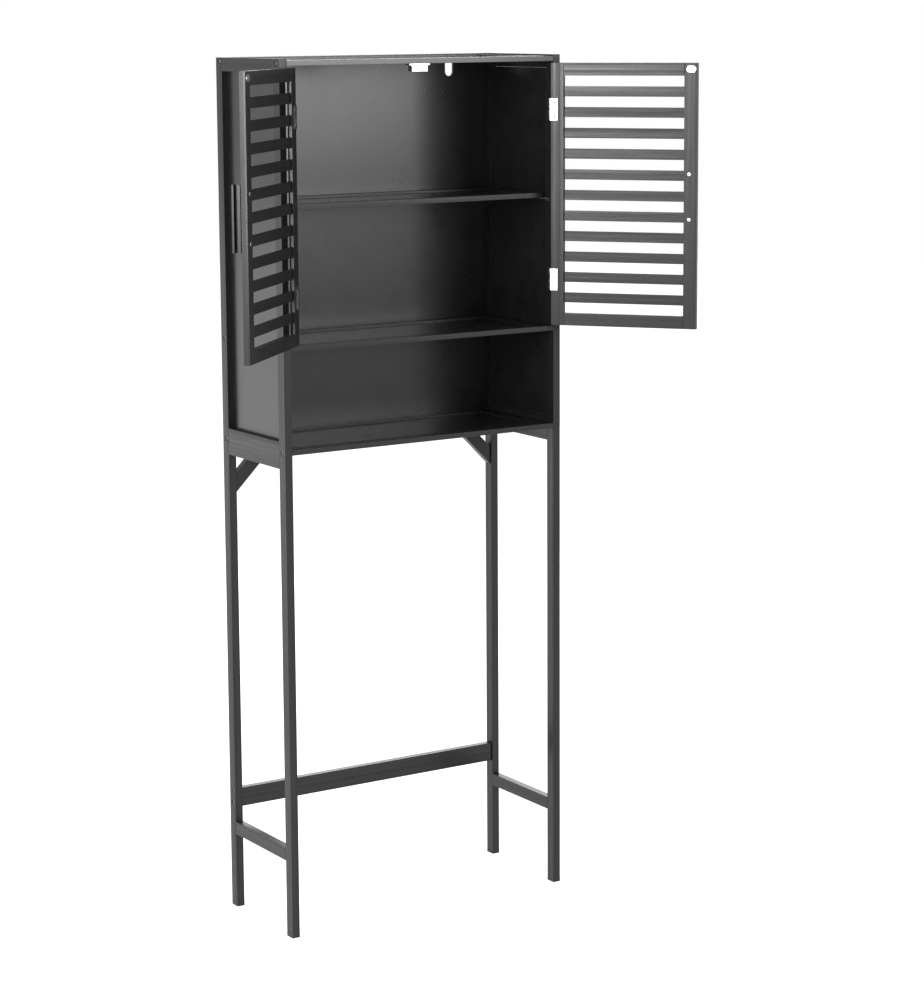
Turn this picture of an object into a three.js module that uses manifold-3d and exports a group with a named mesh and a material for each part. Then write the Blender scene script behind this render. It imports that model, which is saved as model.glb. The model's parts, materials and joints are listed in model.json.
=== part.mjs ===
// Over-the-toilet storage rack: a tall open leg frame carries a wall cabinet with two slatted doors.
// Units are millimetres and +Z is up. While the model is built, X = 0 is the middle of the rack,
// Y = 0 is the front plane (the wall is at +Y) and Z = 0 is the floor. The finished group is then
// moved so that its origin is the middle of its footprint, on the floor.
import * as THREE from "three";
import { mergeVertices } from "three/addons/utils/BufferGeometryUtils.js";
import Module from "manifold-3d";

const wasm = await Module();
wasm.setup();

// ---------------------------------------------------------------- driving dimensions
// Overall
const rackWidth = 630;
const rackDepth = 250;
const legFrameTall = 946; // the cabinet stands on the leg frame
const cabinetTall = 744;

// Joint gap between two fixed pieces that meet
const seam = 0.25;

// Leg and stile stock: across is along X, deep is along Y
const postAcross = 16;
const postDeep = 23;
const sideRailTall = 26;

// Leg frame
const stretcherTall = 25;
const stretcherLift = 151;
const backStretcherTall = 38;
const backStretcherLift = 205;
const backBoardThick = 15;
const backBoardSetback = 4; // from the front faces of the back legs
const braceWide = 26;
const braceReach = 104; // how far down the leg, and along the cabinet, a brace reaches

// Cabinet shell
const sidePanelThick = 5;
const backPanelThick = 5;
const backPanelInset = 4; // from the back of the rack to the back of the panel
const grooveDeep = 4;
const topRim = 3; // the sides stand this much above the top panel
const hangSlotWide = 19;
const hangSlotTall = 32;
const hangSlotFromMiddle = 210;
const hangSlotDrop = 13; // from the top of the rack to the top of a slot

// Shelves, all of one make: a rail frame with a thinner board let into it
const shelfThick = 10;
const shelfRailWide = 28;
const boardDrop = 4; // the board's top below the frame's
const boardRaise = 1; // the board's underside above the frame's
const bottomShelfLift = 1; // above the cabinet's underside
const openSpaceTall = 187; // clear height between the bottom shelf and the fixed one
const lowerSpaceTall = 254; // clear height between the fixed shelf and the loose one
const looseShelfDoorGap = 9; // from the back of the closed doors
const looseShelfSideGap = 10;
const looseShelfBackGap = 1.5;

// Shelf supports: an angle plate on a pin
const supportPlateLong = 16;
const supportPlateWide = 12;
const supportThick = 1.5;
const supportLegTall = 7;
const supportPinRadius = 2.5;
const supportPinLong = 8;
const supportPinFromEdge = 4.5; // from the inner edge of the stile that the pin sits in
const supportHoleSpare = 1; // the pin's hole is this much deeper
const supportHoleClearance = 0.25;
const frontSupportGap = 1.5; // from the back of the closed doors to the plate
const backSupportGap = 1.5; // from the back panel to the plate

// Bolts in recessed holes on the outside of the posts
const boltHoleRadius = 4.25;
const boltHoleDeep = 7;
const frontBoltDepth = 13;
const backBoltFromBack = 14;
const stretcherBoltSpacing = 21;

// Doors
const doorThick = 12;
const doorSetback = 1;
const doorMiddleGap = 1.5; // on each side of the middle
const doorTopGap = 3;
const doorBottomGap = 3;
const doorStileWide = 26;
const doorRailTall = 25;
const slatCount = 11;
const slatTall = 20;
const slatThick = 4;
const slatGrooveDeep = 6;
const slatGrooveClearance = 0.25;
const slatWeb = 1.5; // the strip at the bottom of each groove that carries the slats
const rightDoorOpen = 129; // degrees from closed
const leftDoorOpen = 136.5;

// Handles: a bar on two posts
const handleLong = 121;
const handleWide = 11;
const handleDeep = 21.5; // how far it stands out from the door
const handleRound = 1.5; // the two outer corners
const handleLip = 4.5; // outside the finger groove
const handleGroove = 7.1; // the finger groove faces the door's free edge
const handleInnerLip = 5.1; // between the finger groove and the step at the door
const handleSpine = 2; // left behind the finger groove
const handleNeck = 8.5; // the step that stands on the door and takes the screws
const handleFromFreeEdge = 16;

// Hinges: two leaves and a pin, with five knuckles
const hingeTall = 43;
const hingeFromEnd = 91; // from the door's end to the middle of the hinge
const leafThick = 1;
const knuckleRadius = 2;
const knuckleCount = 5;
const knuckleEndGap = 0.25;
const pinRadius = 1;
const pinClearance = 0.15;
const knuckleDoorGap = 0.5; // from the knuckles to the closed door's face
const leafKnuckleClearance = 0.5;
const sideLeafDeep = 17;
const doorLeafWide = 15;

// Double magnetic catch and its strike plates
const catchBodyWide = 35;
const catchEarsWide = 46;
const catchDeep = 14;
const catchTall = 15;
const catchEarThick = 3.5;
const catchClearance = 0.5; // to the closed strike plates
const strikeLong = 18.5;
const strikeTall = 13;
const strikeThick = 1;
const strikeFromEdge = 12; // from the door's free edge and from its top

// Facets
const roundSides = 24;

// ---------------------------------------------------------------- dimensions that follow
const halfWidth = rackWidth / 2;
const halfInside = halfWidth - postAcross;
const cabinetBase = legFrameTall;
const rackHeight = legFrameTall + cabinetTall;
const backPanelFront = rackDepth - backPanelInset - backPanelThick;
const backBoardFront = rackDepth - postDeep + backBoardSetback;
const topPanelTop = rackHeight - topRim;
const topPanelBase = topPanelTop - shelfThick;
const boardThick = shelfThick - boardDrop - boardRaise;
const bottomShelfTop = cabinetBase + bottomShelfLift + shelfThick;
const fixedShelfTop = bottomShelfTop + openSpaceTall + shelfThick;
const looseShelfBase = fixedShelfTop + lowerSpaceTall;
const hingeGap = 2 * leafThick + 3 * seam;
const doorHingeEdge = halfInside - hingeGap;
const doorBase = fixedShelfTop + doorBottomGap;
const doorTop = topPanelBase - doorTopGap;
const doorFront = doorSetback;
const doorBack = doorFront + doorThick;
const doorMiddleDepth = (doorFront + doorBack) / 2;
const pivotAcross = halfInside - seam - knuckleRadius;
const pivotDepth = doorFront - knuckleDoorGap - knuckleRadius;

// ---------------------------------------------------------------- materials
const paint = new THREE.MeshStandardMaterial({ color: 0x2b2b2c, roughness: 0.42, metalness: 0 });
const panelPaint = new THREE.MeshStandardMaterial({ color: 0x303031, roughness: 0.36, metalness: 0 });
const handleFinish = new THREE.MeshStandardMaterial({ color: 0x2a2a2b, roughness: 0.3, metalness: 0.6 });
const platedSteel = new THREE.MeshStandardMaterial({ color: 0xd8d8d6, roughness: 0.28, metalness: 1 });

// ---------------------------------------------------------------- shape helpers
// A box between two corners.
function block([x0, x1], [y0, y1], [z0, z1]) {
  const box = new THREE.BoxGeometry(x1 - x0, y1 - y0, z1 - z0);
  return box.translate((x0 + x1) / 2, (y0 + y1) / 2, (z0 + z1) / 2);
}

// The stretch between two distances from the middle, on the side that sign says.
function span(sign, a, b) {
  return sign > 0 ? [Math.min(a, b), Math.max(a, b)] : [-Math.max(a, b), -Math.min(a, b)];
}

// A cylinder of a length centred on a point, along axis "x", "y" or "z".
function rod(radius, length, axis, [x, y, z]) {
  const round = new THREE.CylinderGeometry(radius, radius, length, roundSides);
  if (axis === "x") round.rotateZ(Math.PI / 2);
  if (axis === "z") round.rotateX(Math.PI / 2);
  return round.translate(x, y, z);
}

// An outline in the XZ plane, extruded along Y from depth y0 to y1.
function plateXZ(shape, y0, y1) {
  const plate = new THREE.ExtrudeGeometry(shape, { depth: y1 - y0, bevelEnabled: false, curveSegments: 12 });
  return plate.rotateX(Math.PI / 2).translate(0, y1, 0);
}

// An outline in the XY plane, extruded along Z from z0 to z1.
function plateXY(shape, z0, z1) {
  const plate = new THREE.ExtrudeGeometry(shape, { depth: z1 - z0, bevelEnabled: false, curveSegments: 6 });
  return plate.translate(0, 0, z0);
}

function solidOf(geometry) {
  const bare = new THREE.BufferGeometry();
  bare.setAttribute("position", geometry.getAttribute("position"));
  bare.setIndex(geometry.index);
  const merged = mergeVertices(bare, 1e-4);
  const mesh = new wasm.Mesh({
    numProp: 3,
    vertProperties: new Float32Array(merged.attributes.position.array),
    triVerts: new Uint32Array(merged.index.array),
  });
  return new wasm.Manifold(mesh);
}

function geometryOf(solid) {
  const mesh = solid.getMesh();
  const geometry = new THREE.BufferGeometry();
  geometry.setAttribute("position", new THREE.BufferAttribute(new Float32Array(mesh.vertProperties), 3));
  geometry.setIndex(new THREE.BufferAttribute(new Uint32Array(mesh.triVerts), 1));
  const flat = geometry.toNonIndexed();
  flat.computeVertexNormals();
  return flat;
}

// Joins the first list of geometries into one solid and cuts every geometry of the second from it.
function joinAndCut(joined, cuts = []) {
  let solid = solidOf(joined[0]);
  for (const extra of joined.slice(1)) solid = solid.add(solidOf(extra));
  for (const cut of cuts) solid = solid.subtract(solidOf(cut));
  return geometryOf(solid);
}

function piece(name, geometry, material) {
  const mesh = new THREE.Mesh(geometry, material);
  mesh.name = name;
  return mesh;
}

const SIDES = [
  { name: "left", sign: -1 },
  { name: "right", sign: 1 },
];

// ---------------------------------------------------------------- leg frame
// A round recess in a post's outer face, for the head of a bolt.
function boltRecess(sign, y, z) {
  const twiceDeep = 2 * boltHoleDeep; // half of it is outside the post
  return rod(boltHoleRadius, twiceDeep, "x", [sign * halfWidth, y, z]);
}

function leg(side, end) {
  const across = span(side.sign, halfInside, halfWidth);
  const isBack = end === "back";
  const depth = isBack ? [rackDepth - postDeep, rackDepth] : [0, postDeep];
  const post = block(across, depth, [0, cabinetBase - seam]);
  const name = `${end}_${side.name}_leg`;
  if (!isBack) return piece(name, post, paint);
  const boardMiddle = backBoardFront + backBoardThick / 2;
  const stretcherMiddle = backStretcherLift + backStretcherTall / 2;
  const half = stretcherBoltSpacing / 2;
  const recesses = [-half, half].map((dz) => boltRecess(side.sign, boardMiddle, stretcherMiddle + dz));
  return piece(name, joinAndCut([post], recesses), paint);
}

// The two rails that tie a front leg to a back leg.
function legRails(side) {
  const across = span(side.sign, halfInside, halfWidth);
  const depth = [postDeep + seam, rackDepth - postDeep - seam];
  const upper = block(across, depth, [cabinetBase - sideRailTall, cabinetBase - seam]);
  const lower = block(across, depth, [stretcherLift, stretcherLift + stretcherTall]);
  return [
    piece(`${side.name}_leg_top_rail`, upper, paint),
    piece(`${side.name}_side_stretcher`, lower, paint),
  ];
}

function backStretcher() {
  const reach = halfInside - seam;
  const depth = [backBoardFront, backBoardFront + backBoardThick];
  const height = [backStretcherLift, backStretcherLift + backStretcherTall];
  return piece("back_stretcher", block([-reach, reach], depth, height), paint);
}

// A diagonal board with one end cut square to the leg and the other to the cabinet's underside.
function brace(side) {
  const wall = side.sign * (halfInside - seam);
  const ceiling = cabinetBase - seam;
  const endCut = braceWide * Math.SQRT2;
  const inner = braceReach - endCut;
  const outline = new THREE.Shape();
  outline.moveTo(wall, ceiling - braceReach);
  outline.lineTo(wall - side.sign * braceReach, ceiling);
  outline.lineTo(wall - side.sign * inner, ceiling);
  outline.lineTo(wall, ceiling - inner);
  outline.closePath();
  const board = plateXZ(outline, backBoardFront, backBoardFront + backBoardThick);
  return piece(`${side.name}_brace`, board, paint);
}

// ---------------------------------------------------------------- cabinet shell
const shelfBoltHeights = [
  topPanelTop - shelfThick / 2,
  fixedShelfTop - shelfThick / 2,
  bottomShelfTop - shelfThick / 2,
];

const SUPPORT_ENDS = {
  front: {
    pinDepth: postDeep - supportPinFromEdge,
    plateFront: doorBack + frontSupportGap,
  },
  back: {
    pinDepth: rackDepth - postDeep + supportPinFromEdge,
    plateFront: backPanelFront - backSupportGap - supportPlateWide,
  },
};

// The blind hole in a stile's inner face that a shelf support's pin sits in.
function supportHole(sign, end) {
  const radius = supportPinRadius + supportHoleClearance;
  const z = looseShelfBase - seam - supportLegTall / 2;
  const length = 2 * (supportPinLong + supportHoleSpare); // half of it is outside the stile
  return rod(radius, length, "x", [sign * halfInside, SUPPORT_ENDS[end].pinDepth, z]);
}

function frontStile(side) {
  const post = block(span(side.sign, halfInside, halfWidth), [0, postDeep], [cabinetBase, rackHeight]);
  const recesses = shelfBoltHeights.map((z) => boltRecess(side.sign, frontBoltDepth, z));
  const cuts = [...recesses, supportHole(side.sign, "front")];
  return piece(`${side.name}_front_stile`, joinAndCut([post], cuts), paint);
}

function backStile(side) {
  const depth = [rackDepth - postDeep, rackDepth];
  const post = block(span(side.sign, halfInside, halfWidth), depth, [cabinetBase, rackHeight]);
  const groove = block(
    span(side.sign, halfInside - grooveDeep, halfInside + grooveDeep),
    [backPanelFront - seam, backPanelFront + backPanelThick + seam],
    [cabinetBase - 1, rackHeight + 1],
  );
  const boltY = rackDepth - backBoltFromBack;
  const recesses = shelfBoltHeights.map((z) => boltRecess(side.sign, boltY, z));
  const cuts = [groove, ...recesses, supportHole(side.sign, "back")];
  return piece(`${side.name}_back_stile`, joinAndCut([post], cuts), paint);
}

// Top rail, bottom rail and the thin panel between them, flush with the stiles on the inside.
function sideFilling(side) {
  const across = span(side.sign, halfInside, halfWidth);
  const depth = [postDeep + seam, rackDepth - postDeep - seam];
  const panelBase = cabinetBase + sideRailTall;
  const panelTop = rackHeight - sideRailTall;
  const panelAcross = span(side.sign, halfInside, halfInside + sidePanelThick);
  const panel = block(panelAcross, depth, [panelBase + seam, panelTop - seam]);
  return [
    piece(`${side.name}_side_top_rail`, block(across, depth, [panelTop, rackHeight]), paint),
    piece(`${side.name}_side_bottom_rail`, block(across, depth, [cabinetBase, panelBase]), paint),
    piece(`${side.name}_side_panel`, panel, panelPaint),
  ];
}

// An upright slot with round ends, for a hook or an anchor screw in the wall.
function hangSlot(x) {
  const radius = hangSlotWide / 2;
  const top = rackHeight - hangSlotDrop - radius;
  const base = rackHeight - hangSlotDrop - hangSlotTall + radius;
  const outline = new THREE.Shape();
  outline.moveTo(x + radius, base);
  outline.lineTo(x + radius, top);
  outline.absarc(x, top, radius, 0, Math.PI, false);
  outline.lineTo(x - radius, base);
  outline.absarc(x, base, radius, Math.PI, 2 * Math.PI, false);
  return plateXZ(outline, backPanelFront - 1, backPanelFront + backPanelThick + 1);
}

function backPanel() {
  const reach = halfInside + grooveDeep - seam;
  const depth = [backPanelFront, backPanelFront + backPanelThick];
  const sheet = block([-reach, reach], depth, [bottomShelfTop - grooveDeep + seam, rackHeight]);
  const slots = [-1, 1].map((sign) => hangSlot(sign * hangSlotFromMiddle));
  return piece("back_panel", joinAndCut([sheet], slots), panelPaint);
}

// The top: a framed panel whose middle is let down like a shelf board.
function topPanel() {
  const reach = halfInside - seam;
  const back = backPanelFront - seam;
  const slab = block([-reach, reach], [0, back], [topPanelBase, topPanelTop]);
  const edge = reach - shelfRailWide;
  const recess = block(
    [-edge, edge],
    [shelfRailWide, back - shelfRailWide],
    [topPanelTop - boardDrop, topPanelTop + 1],
  );
  return piece("top_panel", joinAndCut([slab], [recess]), paint);
}

// ---------------------------------------------------------------- shelves
function rectangle(x0, x1, y0, y1) {
  const outline = new THREE.Shape();
  outline.moveTo(x0, y0);
  outline.lineTo(x1, y0);
  outline.lineTo(x1, y1);
  outline.lineTo(x0, y1);
  outline.closePath();
  return outline;
}

// A rail frame and the board that is let into it.
function shelf(name, reach, front, back, top, frameCuts = []) {
  const outline = rectangle(-reach, reach, front, back);
  const edge = reach - shelfRailWide;
  outline.holes.push(rectangle(-edge, edge, front + shelfRailWide, back - shelfRailWide));
  const ring = plateXY(outline, top - shelfThick, top);
  const frame = frameCuts.length ? joinAndCut([ring], frameCuts) : ring;
  const boardReach = edge - seam;
  const board = block(
    [-boardReach, boardReach],
    [front + shelfRailWide + seam, back - shelfRailWide - seam],
    [top - boardDrop - boardThick, top - boardDrop],
  );
  return [piece(`${name}_frame`, frame, paint), piece(`${name}_board`, board, panelPaint)];
}

function bottomShelf() {
  const reach = halfInside - seam;
  const groove = block(
    [-reach - 1, reach + 1],
    [backPanelFront - seam, backPanelFront + backPanelThick + seam],
    [bottomShelfTop - grooveDeep, bottomShelfTop + 1],
  );
  return shelf("bottom_shelf", reach, 0, rackDepth, bottomShelfTop, [groove]);
}

function fixedShelf() {
  return shelf("fixed_shelf", halfInside - seam, 0, backPanelFront - seam, fixedShelfTop);
}

function looseShelf() {
  const reach = halfInside - looseShelfSideGap;
  const front = doorBack + looseShelfDoorGap;
  const back = backPanelFront - looseShelfBackGap;
  return shelf("adjustable_shelf", reach, front, back, looseShelfBase + shelfThick);
}

// An angle of plated steel: the plate lies under the shelf, the leg on the stile, the pin in its hole.
function shelfSupport(side, end) {
  const { pinDepth, plateFront } = SUPPORT_ENDS[end];
  const depth = [plateFront, plateFront + supportPlateWide];
  const wall = halfInside - seam;
  const top = looseShelfBase - seam;
  const plate = block(span(side.sign, wall - supportPlateLong, wall), depth, [top - supportThick, top]);
  const leg = block(span(side.sign, wall - supportThick, wall), depth, [top - supportLegTall, top]);
  const pinLength = supportPinLong + supportThick;
  const pinMiddle = side.sign * (wall - supportThick + pinLength / 2);
  const pin = rod(supportPinRadius, pinLength, "x", [pinMiddle, pinDepth, top - supportLegTall / 2]);
  return piece(`${end}_${side.name}_shelf_support`, joinAndCut([plate, leg, pin]), platedSteel);
}

// ---------------------------------------------------------------- doors
const slatRegionBase = doorBase + doorRailTall;
const slatRegionTop = doorTop - doorRailTall;
const slatGap = (slatRegionTop - slatRegionBase - slatCount * slatTall) / (slatCount + 1);

// A door stile with the groove that the slats' ends sit in, on its edge nearest the slats.
function doorStile(name, sign, near, far) {
  const post = block(span(sign, near, far), [doorFront, doorBack], [doorBase, doorTop]);
  const half = slatThick / 2 + slatGrooveClearance;
  const towardsFar = Math.sign(far - near);
  const groove = block(
    span(sign, near - towardsFar, near + towardsFar * slatGrooveDeep),
    [doorMiddleDepth - half, doorMiddleDepth + half],
    [slatRegionBase, slatRegionTop],
  );
  return piece(name, joinAndCut([post], [groove]), paint);
}

// The slats, evenly spaced, joined by a thin strip in the bottom of each stile's groove.
function slats(name, sign, nearMiddle, nearHinge) {
  const depth = [doorMiddleDepth - slatThick / 2, doorMiddleDepth + slatThick / 2];
  const lowEnd = nearMiddle - slatGrooveDeep + seam;
  const highEnd = nearHinge + slatGrooveDeep - seam;
  const parts = [];
  for (let i = 0; i < slatCount; i++) {
    const base = slatRegionBase + slatGap + i * (slatTall + slatGap);
    parts.push(block(span(sign, lowEnd, highEnd), depth, [base, base + slatTall]));
  }
  const height = [slatRegionBase + slatGap, slatRegionTop - slatGap];
  parts.push(block(span(sign, lowEnd, lowEnd + slatWeb), depth, height));
  parts.push(block(span(sign, highEnd - slatWeb, highEnd), depth, height));
  return piece(name, joinAndCut(parts), paint);
}

// A long pull with a finger groove along its side. It stands on the door on a narrower step.
function handle(side) {
  const x = side.sign * (doorMiddleGap + handleFromFreeEdge);
  const toFree = -side.sign;
  const half = handleWide / 2;
  const corner = half - handleRound;
  const outer = doorFront - handleDeep;
  const grooveOut = handleDeep - handleLip;
  const grooveIn = grooveOut - handleGroove;
  const step = grooveIn - handleInnerLip;
  const at = (sideways, out) => [x + toFree * sideways, doorFront - out];
  const turn = toFree > 0;
  const quarter = Math.PI / 2;
  const from = turn ? 0 : Math.PI;
  const way = turn ? -1 : 1;
  const section = new THREE.Shape();
  section.moveTo(...at(-half, seam));
  section.lineTo(...at(handleNeck - half, seam));
  section.lineTo(...at(handleNeck - half, step));
  section.lineTo(...at(half, step));
  section.lineTo(...at(half, grooveIn));
  section.lineTo(...at(handleSpine - half, grooveIn));
  section.lineTo(...at(handleSpine - half, grooveOut));
  section.lineTo(...at(half, grooveOut));
  section.absarc(x + toFree * corner, outer + handleRound, handleRound, from, from + way * quarter, turn);
  section.absarc(
    x - toFree * corner,
    outer + handleRound,
    handleRound,
    from + way * quarter,
    from + way * 2 * quarter,
    turn,
  );
  section.closePath();
  const middle = (doorBase + doorTop) / 2;
  const bar = plateXY(section, middle - handleLong / 2, middle + handleLong / 2);
  return piece(`${side.name}_handle`, bar, handleFinish);
}

// An oval plate on the door's inner face that the catch's magnet holds.
function strikePlate(side) {
  const x = side.sign * (doorMiddleGap + strikeFromEdge);
  const z = doorTop - strikeFromEdge;
  const radius = strikeTall / 2;
  const straight = (strikeLong - strikeTall) / 2;
  const outline = new THREE.Shape();
  outline.absarc(x + straight, z, radius, -Math.PI / 2, Math.PI / 2, false);
  outline.absarc(x - straight, z, radius, Math.PI / 2, 1.5 * Math.PI, false);
  const plate = plateXZ(outline, doorBack + seam, doorBack + seam + strikeThick);
  return piece(`${side.name}_strike_plate`, plate, platedSteel);
}

// ---------------------------------------------------------------- hinges
const knuckleTall = hingeTall / knuckleCount;

// Heights of the knuckles that one leaf carries: even ones on the side leaf, odd ones on the door's.
function knuckleSpans(middle, parity) {
  const base = middle - hingeTall / 2;
  const spans = [];
  for (let i = parity; i < knuckleCount; i += 2) {
    const low = base + i * knuckleTall + (i === 0 ? 0 : knuckleEndGap / 2);
    const high = base + (i + 1) * knuckleTall - (i === knuckleCount - 1 ? 0 : knuckleEndGap / 2);
    spans.push([low, high]);
  }
  return spans;
}

// A leaf's plates joined to its own knuckles, with the pin's bore and room for the other leaf's.
function hingeLeaf(name, sign, middle, parity, plates) {
  const axis = [sign * pivotAcross, pivotDepth];
  const knuckles = knuckleSpans(middle, parity).map(([low, high]) => {
    return rod(knuckleRadius, high - low, "z", [...axis, (low + high) / 2]);
  });
  const roomRadius = knuckleRadius + leafKnuckleClearance;
  const rooms = knuckleSpans(middle, 1 - parity).map(([low, high]) => {
    return block(
      [axis[0] - roomRadius, axis[0] + roomRadius],
      [pivotDepth - roomRadius, pivotDepth + roomRadius],
      [low - knuckleEndGap, high + knuckleEndGap],
    );
  });
  const bore = rod(pinRadius + pinClearance, hingeTall + 2, "z", [...axis, middle]);
  let body = solidOf(plates[0]);
  for (const plate of plates.slice(1)) body = body.add(solidOf(plate));
  for (const room of rooms) body = body.subtract(solidOf(room));
  for (const knuckle of knuckles) body = body.add(solidOf(knuckle));
  return piece(name, geometryOf(body.subtract(solidOf(bore))), platedSteel);
}

function sideLeaf(name, sign, middle) {
  const high = halfInside - seam;
  const height = [middle - hingeTall / 2, middle + hingeTall / 2];
  const plate = block(span(sign, high - leafThick, high), [pivotDepth, sideLeafDeep], height);
  return hingeLeaf(name, sign, middle, 0, [plate]);
}

// The door's leaf runs along the door's edge and wraps round onto its inner face.
function doorLeaf(name, sign, middle) {
  const low = doorHingeEdge + seam;
  const height = [middle - hingeTall / 2, middle + hingeTall / 2];
  const backFace = doorBack + seam;
  const edgePlate = block(span(sign, low, low + leafThick), [pivotDepth, backFace + leafThick], height);
  const facePlate = block(
    span(sign, low + leafThick - doorLeafWide, low + leafThick),
    [backFace, backFace + leafThick],
    height,
  );
  return hingeLeaf(name, sign, middle, 1, [edgePlate, facePlate]);
}

function hingePin(name, sign, middle) {
  return piece(name, rod(pinRadius, hingeTall, "z", [sign * pivotAcross, pivotDepth, middle]), platedSteel);
}

const HINGES = [
  { name: "upper", middle: doorTop - hingeFromEnd },
  { name: "lower", middle: doorBase + hingeFromEnd },
];

// ---------------------------------------------------------------- catch
function doubleCatch() {
  const front = doorBack + seam + strikeThick + catchClearance;
  const top = topPanelBase - seam;
  const depth = [front, front + catchDeep];
  const body = block([-catchBodyWide / 2, catchBodyWide / 2], depth, [top - catchTall, top]);
  const ears = block([-catchEarsWide / 2, catchEarsWide / 2], depth, [top - catchEarThick, top]);
  return piece("magnetic_catch", joinAndCut([body, ears]), platedSteel);
}

// ---------------------------------------------------------------- assembly
function legFrame() {
  const group = new THREE.Group();
  for (const side of SIDES) {
    group.add(leg(side, "front"), leg(side, "back"), ...legRails(side), brace(side));
  }
  group.add(backStretcher());
  return group;
}

function cabinet() {
  const group = new THREE.Group();
  for (const side of SIDES) {
    group.add(frontStile(side), backStile(side), ...sideFilling(side));
    group.add(shelfSupport(side, "front"), shelfSupport(side, "back"));
    for (const hinge of HINGES) {
      const name = `${side.name}_${hinge.name}_hinge`;
      group.add(sideLeaf(`${name}_side_leaf`, side.sign, hinge.middle));
      group.add(hingePin(`${name}_pin`, side.sign, hinge.middle));
    }
  }
  group.add(backPanel(), topPanel(), ...bottomShelf(), ...fixedShelf(), ...looseShelf(), doubleCatch());
  return group;
}

// A door is laid out closed and then swung open about its hinge pins.
function door(side, openDegrees) {
  const sign = side.sign;
  const hingeSide = doorHingeEdge - doorStileWide;
  const freeSide = doorMiddleGap + doorStileWide;
  const between = span(sign, freeSide + seam, hingeSide - seam);
  const depth = [doorFront, doorBack];
  const closed = new THREE.Group();
  closed.add(
    doorStile(`${side.name}_door_hinge_stile`, sign, hingeSide, doorHingeEdge),
    doorStile(`${side.name}_door_free_stile`, sign, freeSide, doorMiddleGap),
    piece(`${side.name}_door_top_rail`, block(between, depth, [slatRegionTop, doorTop]), paint),
    piece(`${side.name}_door_bottom_rail`, block(between, depth, [doorBase, slatRegionBase]), paint),
    slats(`${side.name}_door_slats`, sign, freeSide, hingeSide),
    handle(side),
    strikePlate(side),
  );
  for (const hinge of HINGES) {
    closed.add(doorLeaf(`${side.name}_${hinge.name}_hinge_door_leaf`, sign, hinge.middle));
  }
  closed.position.set(-sign * pivotAcross, -pivotDepth, 0);
  const swung = new THREE.Group();
  swung.add(closed);
  swung.position.set(sign * pivotAcross, pivotDepth, 0);
  swung.rotation.z = THREE.MathUtils.degToRad(sign * openDegrees);
  return swung;
}

const rack = new THREE.Group();
rack.add(legFrame(), cabinet(), door(SIDES[0], leftDoorOpen), door(SIDES[1], rightDoorOpen));

// Origin: the middle of the footprint, doors included, on the floor.
const bounds = new THREE.Box3().setFromObject(rack, true);
rack.position.set(-(bounds.min.x + bounds.max.x) / 2, -(bounds.min.y + bounds.max.y) / 2, 0);

export default rack;
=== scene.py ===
# %% [markdown]
# # A storage rack that stands over a toilet
#
# The rack is a tall open leg frame with a wall cabinet on top of it. It is made of thin bamboo
# boards under a black satin lacquer, with two slatted doors, three shelves and a little nickel
# plated ironwork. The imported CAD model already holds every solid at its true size. This lesson
# dresses it: it softens the edges, gives each part its finish, adds the screws and bolts that
# hold it together, and lights it like a catalogue picture.
#
# The first cell loads the CAD model. It comes in as a fixed frame that is never moved, and its
# box is kept, because nothing that is added may make the rack bigger than it is.

# %% Load the fixed frame
import json
import math
import random

import bmesh
import bpy
from mathutils import Matrix, Vector


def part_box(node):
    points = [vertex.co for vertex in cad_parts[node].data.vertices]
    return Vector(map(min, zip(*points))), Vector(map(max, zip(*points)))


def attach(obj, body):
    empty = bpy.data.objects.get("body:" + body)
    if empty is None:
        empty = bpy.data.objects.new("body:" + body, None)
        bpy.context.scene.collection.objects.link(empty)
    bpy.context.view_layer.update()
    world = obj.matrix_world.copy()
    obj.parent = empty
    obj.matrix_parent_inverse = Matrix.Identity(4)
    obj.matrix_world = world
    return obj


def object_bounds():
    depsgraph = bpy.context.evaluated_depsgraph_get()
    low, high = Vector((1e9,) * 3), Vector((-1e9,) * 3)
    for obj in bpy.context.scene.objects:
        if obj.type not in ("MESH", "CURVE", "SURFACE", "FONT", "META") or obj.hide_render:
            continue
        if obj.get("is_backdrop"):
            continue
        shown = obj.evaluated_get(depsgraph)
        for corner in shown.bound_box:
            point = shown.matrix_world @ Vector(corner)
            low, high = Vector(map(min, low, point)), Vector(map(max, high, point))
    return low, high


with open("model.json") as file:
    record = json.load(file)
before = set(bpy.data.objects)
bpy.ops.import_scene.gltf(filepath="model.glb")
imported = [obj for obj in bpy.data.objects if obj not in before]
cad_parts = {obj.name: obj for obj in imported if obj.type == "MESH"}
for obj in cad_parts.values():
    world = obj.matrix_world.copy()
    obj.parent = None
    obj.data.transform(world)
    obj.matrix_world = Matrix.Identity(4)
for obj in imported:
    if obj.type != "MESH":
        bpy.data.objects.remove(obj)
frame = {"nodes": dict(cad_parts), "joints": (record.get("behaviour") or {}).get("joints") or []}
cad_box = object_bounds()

# %% [markdown]
# ## Where things are
#
# Everything is in metres, in the CAD model's own frame. A rack is easier to think of from its
# middle and its front, so `place` counts from there: x to the right of the middle, y backwards
# from the front faces of the legs, z up from the floor. The helper takes millimetres, which is
# how a maker would measure the parts.

# %% A ruler and a starting point
MM = 0.001

left_front_low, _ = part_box("front_left_leg")
_, right_front_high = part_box("front_right_leg")
MIDDLE_X = (left_front_low.x + right_front_high.x) / 2
FRONT_Y = left_front_low.y
RACK_WIDE = right_front_high.x - left_front_low.x
RACK_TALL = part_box("left_front_stile")[1].z


def place(x, y, z):
    """A point counted in millimetres from the rack's middle, its front plane and the floor."""
    return Vector((MIDDLE_X + x * MM, FRONT_Y + y * MM, z * MM))


print(f"rack {RACK_WIDE:.3f} m wide, {RACK_TALL:.3f} m tall, middle at x {MIDDLE_X:.4f}")

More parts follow.
